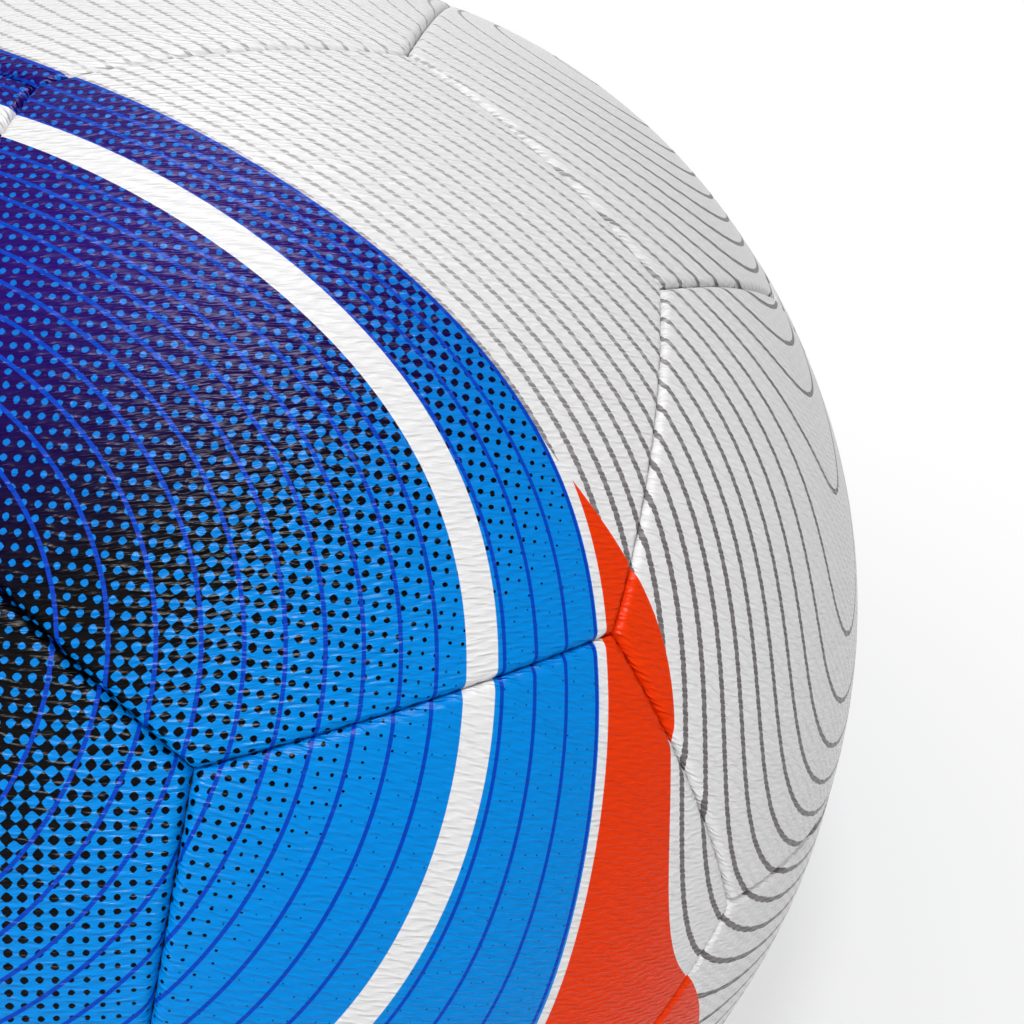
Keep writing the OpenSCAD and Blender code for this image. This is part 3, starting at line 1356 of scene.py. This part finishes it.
    def build(self) -> None:
        """Models the cuts once, and forms a copy for every panel."""
        material = self.finish.material()
        cuts: dict[tuple[Cut, bool], bpy.types.Object] = {}
        for number, panel in enumerate(self.layout.panels()):
            kind = panel.cut, panel.pierced
            if kind not in cuts:
                cuts[kind] = self.flat_cut(*kind)
            piece = copy_of(cuts[kind], panel.name)
            flat = points(piece)
            self.add_maps(piece, flat, panel)
            self.add_attributes(piece, flat, number, panel)
            place(piece, self.form(flat, panel))
            deselect()
            piece.select_set(True)
            bpy.context.view_layer.objects.active = piece
            bpy.ops.object.shade_smooth_by_angle(angle=self.smooth_angle)
            finish_piece(piece, material, "cover", panel.node)
        for slab in cuts.values():
            bpy.data.objects.remove(slab)


@dataclass
class SeamThread:
    """The thread at the bottom of the seams. Sizes are in millimetres."""

    layout: Layout
    finish: ThreadFinish
    path_r: float = 108.0
    thread_r: float = 0.24
    end_gap: float = 0.5
    rings: int = 120
    facets: int = 6
    dive: float = 0.22
    weave: float = 0.06

    def straight(self) -> bpy.types.Object:
        """Models one straight thread from 0 to 1 along Z, with a radius of 1.

        Returns:
            The closed thread.
        """
        deselect()
        bpy.ops.mesh.primitive_circle_add(vertices=self.facets, radius=1, fill_type="NGON")
        bpy.ops.object.mode_set(mode="EDIT")
        step = {"value": (0, 0, 1 / self.rings)}
        for _ in range(self.rings):
            bpy.ops.mesh.extrude_region_move(TRANSFORM_OT_translate=step)
        turn_outwards()
        bpy.ops.object.shade_smooth()
        return bpy.context.object

    def lay(self, straight: Array, start: Array, end: Array) -> Array:
        """Lays a straight thread along a seam.

        Args:
            straight: The straight thread's points.
            start: The direction of the seam's first corner.
            end: The direction of its last corner.

        Returns:
            The points in metres.
        """
        middle = unit(start + end)
        tangent = unit(end - start)
        across = np.cross(tangent, middle)
        half = self.layout.edge_angle / 2 - self.end_gap / self.layout.radius
        swing = (straight[:, 2:3] * 2 - 1) * half
        ray = middle * np.cos(swing) + tangent * np.sin(swing)
        turn = TURN * self.layout.stitches * (swing / self.layout.edge_angle + 0.5)
        radius = self.path_r + self.dive * np.cos(turn) + straight[:, 0:1] * self.thread_r
        side = self.weave * np.sin(turn / 2) + straight[:, 1:2] * self.thread_r
        return (ray * radius + across * side) * MM

    def build(self) -> None:
        """Lays a thread in each seam and joins those of one node."""
        material = self.finish.material()
        straight = self.straight()
        rows = points(straight)
        for name, seams in (
            ("hexagon_seam_thread", self.layout.hexagon_seams()),
            ("pentagon_seam_thread", self.layout.pentagon_seams()),
        ):
            runs = []
            for start, end in seams:
                run = copy_of(straight, f"{name}_run")
                place(run, self.lay(rows, start, end))
                runs.append(run)
            deselect()
            for run in runs:
                run.select_set(True)
            bpy.context.view_layer.objects.active = runs[0]
            bpy.ops.object.join()
            runs[0].name = runs[0].data.name = name.replace("_thread", "_stitching")
            finish_piece(runs[0], material, "thread", name)
        bpy.data.objects.remove(straight)


@dataclass
class Carcass:
    """The pieces under the cover, which keep their CAD shapes."""

    lining: ClothFinish = ClothFinish("woven_lining", paint(196, 190, 176), paint(232, 228, 218))
    patch: ClothFinish = ClothFinish(
        "woven_patch", paint(150, 146, 138), paint(196, 192, 184), pitch=0.6
    )
    bladder: RubberFinish = RubberFinish(
        "bladder_rubber", paint(58, 54, 52), paint(84, 78, 74), rough=0.6, mottle=4.0
    )
    valve: RubberFinish = RubberFinish("valve_rubber", paint(26, 26, 28), paint(48, 48, 52))
    plug: RubberFinish = RubberFinish(
        "plug_rubber", paint(54, 54, 58), paint(84, 84, 90), rough=0.45
    )

    def build(self) -> None:
        """Dresses the CAD nodes that show as they are."""
        for finish, *nodes in (
            (self.lining, "hexagon_linings", "pentagon_linings"),
            (self.patch, "valve_patch"),
            (self.bladder, "bladder"),
            (self.valve, "valve_body"),
            (self.plug, "valve_plug"),
        ):
            material = finish.material()
            for node in nodes:
                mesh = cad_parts[node].data
                mesh.materials.clear()
                mesh.materials.append(material)
                LOG.info("%s: %s", node, finish.name)


# The studio


@dataclass(frozen=True)
class Lamp:
    """A square soft lamp that faces the ball. Lengths are in metres, and power is in watts.

    One that is not lit is only mirrored in surfaces, and one that is not mirrored only lights.
    """

    name: str
    spot: Triple
    size: float
    power: float
    lit: bool = True
    mirrored: bool = True

    def hang(self) -> None:
        """Adds the lamp to the scene."""
        data = bpy.data.lights.new(self.name, "AREA")
        data.size = self.size
        data.energy = self.power
        lamp = bpy.data.objects.new(self.name, data)
        lamp.location = self.spot
        lamp.visible_diffuse = self.lit
        lamp.visible_glossy = self.mirrored
        lamp.rotation_euler = Vector(self.spot).to_track_quat("Z", "Y").to_euler()
        bpy.context.scene.collection.objects.link(lamp)


@dataclass
class Studio:
    """The camera, the light and the floor. Lengths are in metres and angles in degrees."""

    floor_z: float
    image_px: int = 1024
    focal_px: float = 1053.976
    axis_px: float = 395.46
    sensor_mm: float = 36.0
    nearest: float = 0.01
    distance: float = 0.21113
    azimuth: float = -8.3333
    elevation: float = 35.5692
    yaw: float = -16.6676
    pitch: float = -27.3202
    roll: float = -0.309
    floor_size: float = 8.0
    floor_near: float = 0.03
    floor_far: float = 0.35
    floor_glow: float = 0.45
    floor_rough: float = 0.9
    floor_grey: Colour = (0.7, 0.7, 0.7, 1.0)
    wall_white: Colour = (1.0, 1.0, 1.0, 1.0)
    ambient: float = 0.45
    ceiling: float = 0.15
    ceiling_span: Span = (0.3, 0.8)
    lamps: tuple[Lamp, ...] = (
        Lamp("key", (-0.25, -0.35, 0.95), 0.12, 4.9),
        Lamp("sheen", (0.05, -0.1, 1.05), 0.5, 46.0, lit=False),
        Lamp("sky", (-0.2, -0.1, 1.3), 1.4, 2.0),
        Lamp("fill", (-0.7, -0.9, 0.35), 0.8, 3.8),
        Lamp("back", (0.35, 1.0, 0.12), 0.6, 3.5, mirrored=False),
    )

    def camera(self) -> None:
        """Sets up the camera at the photograph's viewpoint."""
        azimuth, elevation = math.radians(self.azimuth), math.radians(self.elevation)
        heading, pitch = math.radians(self.azimuth + self.yaw), math.radians(self.pitch)
        level = math.cos(elevation)
        eye = Vector((level * math.sin(azimuth), -level * math.cos(azimuth), math.sin(elevation)))
        level = math.cos(pitch)
        ahead = Vector((-level * math.sin(heading), level * math.cos(heading), math.sin(pitch)))
        right = ahead.cross(Vector((0, 0, 1))).normalized()
        right = Matrix.Rotation(math.radians(self.roll), 3, -ahead) @ right
        turn = Matrix((right, right.cross(ahead), -ahead)).transposed()
        data = bpy.data.cameras.new("camera")
        data.sensor_width = self.sensor_mm
        data.lens = self.sensor_mm * self.focal_px / self.image_px
        data.shift_y = (self.axis_px - self.image_px / 2) / self.image_px
        data.clip_start = self.nearest
        camera = bpy.data.objects.new("camera", data)
        camera.matrix_world = Matrix.Translation(eye * self.distance) @ turn.to_4x4()
        bpy.context.scene.collection.objects.link(camera)
        bpy.context.scene.camera = camera

    def seen_directly(self, graph: Graph) -> Socket:
        """Gives 1 for rays from the camera, and for what gloss or glass shows.

        Args:
            graph: The tree of the material or the world.

        Returns:
            The mask of those rays.
        """
        path = graph.node("LightPath")
        seen = graph.math("MAXIMUM", path.outputs["Is Camera Ray"], path.outputs["Is Glossy Ray"])
        return graph.math("MAXIMUM", seen, path.outputs["Is Transmission Ray"])

    def world(self) -> None:
        """Surrounds the ball with a white room, whose ceiling is dim where it is mirrored."""
        world = bpy.data.worlds.new("white_room")
        world.use_nodes = True
        graph = Graph(world.node_tree)
        background = world.node_tree.nodes["Background"]
        background.inputs["Color"].default_value = self.wall_white
        rise = graph.parts(graph.node("TexCoord").outputs["Generated"])["Z"]
        walls, ceiling = 1.0 - self.ambient, self.ceiling - self.ambient
        shown = graph.ramp(rise, self.ceiling_span, walls, ceiling)
        strength = graph.math("MULTIPLY_ADD", self.seen_directly(graph), shown, self.ambient)
        graph.feed(background.inputs["Strength"], strength)
        bpy.context.scene.world = world

    def floor(self) -> None:
        """Lays a pale floor that keeps the ball's shadow."""
        deselect()
        bpy.ops.mesh.primitive_plane_add(size=self.floor_size, location=(0, 0, self.floor_z))
        floor = bpy.context.object
        floor.name = "floor"
        constants = {"Roughness": self.floor_rough, "Base_Color": self.floor_grey}
        graph = MaterialGraph("pale_floor", **constants)
        span = self.floor_near, self.floor_far
        glow = graph.ramp(graph.vector("LENGTH", graph.spot()), span, self.floor_glow, 1.0)
        mixed = graph.node("MixShader")
        graph.feed(mixed.inputs[0], graph.math("MULTIPLY", self.seen_directly(graph), glow))
        graph.feed(mixed.inputs[1], graph.shader.outputs[0])
        graph.feed(mixed.inputs[2], graph.node("Emission").outputs[0])
        graph.feed(graph.tree.nodes["Material Output"].inputs["Surface"], mixed.outputs[0])
        floor.data.materials.append(graph.material)

    def build(self) -> None:
        """Sets up the whole studio."""
        self.camera()
        self.world()
        self.floor()
        for lamp in self.lamps:
            lamp.hang()
        bpy.context.scene.view_settings.view_transform = "Standard"


def write_sizes() -> None:
    """Updates the view layer."""
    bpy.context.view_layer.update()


def main() -> None:
    """Builds the ball and its studio."""
    logging.basicConfig(level=logging.INFO, format="%(message)s")
    layout = Layout(radius=-CAD_BOX[0][2] / MM)
    axes = tuple(tuple(axis) for axis in layout.pentagon_axes()[:6])
    design = ContourPrint(layout.radius, axes)
    Studio(floor_z=CAD_BOX[0][2]).build()
    Cover(layout, CoverFinish(design, Grain())).build()
    SeamThread(layout, ThreadFinish()).build()
    Carcass().build()
    write_sizes()


if __name__ == "__main__":
    main()
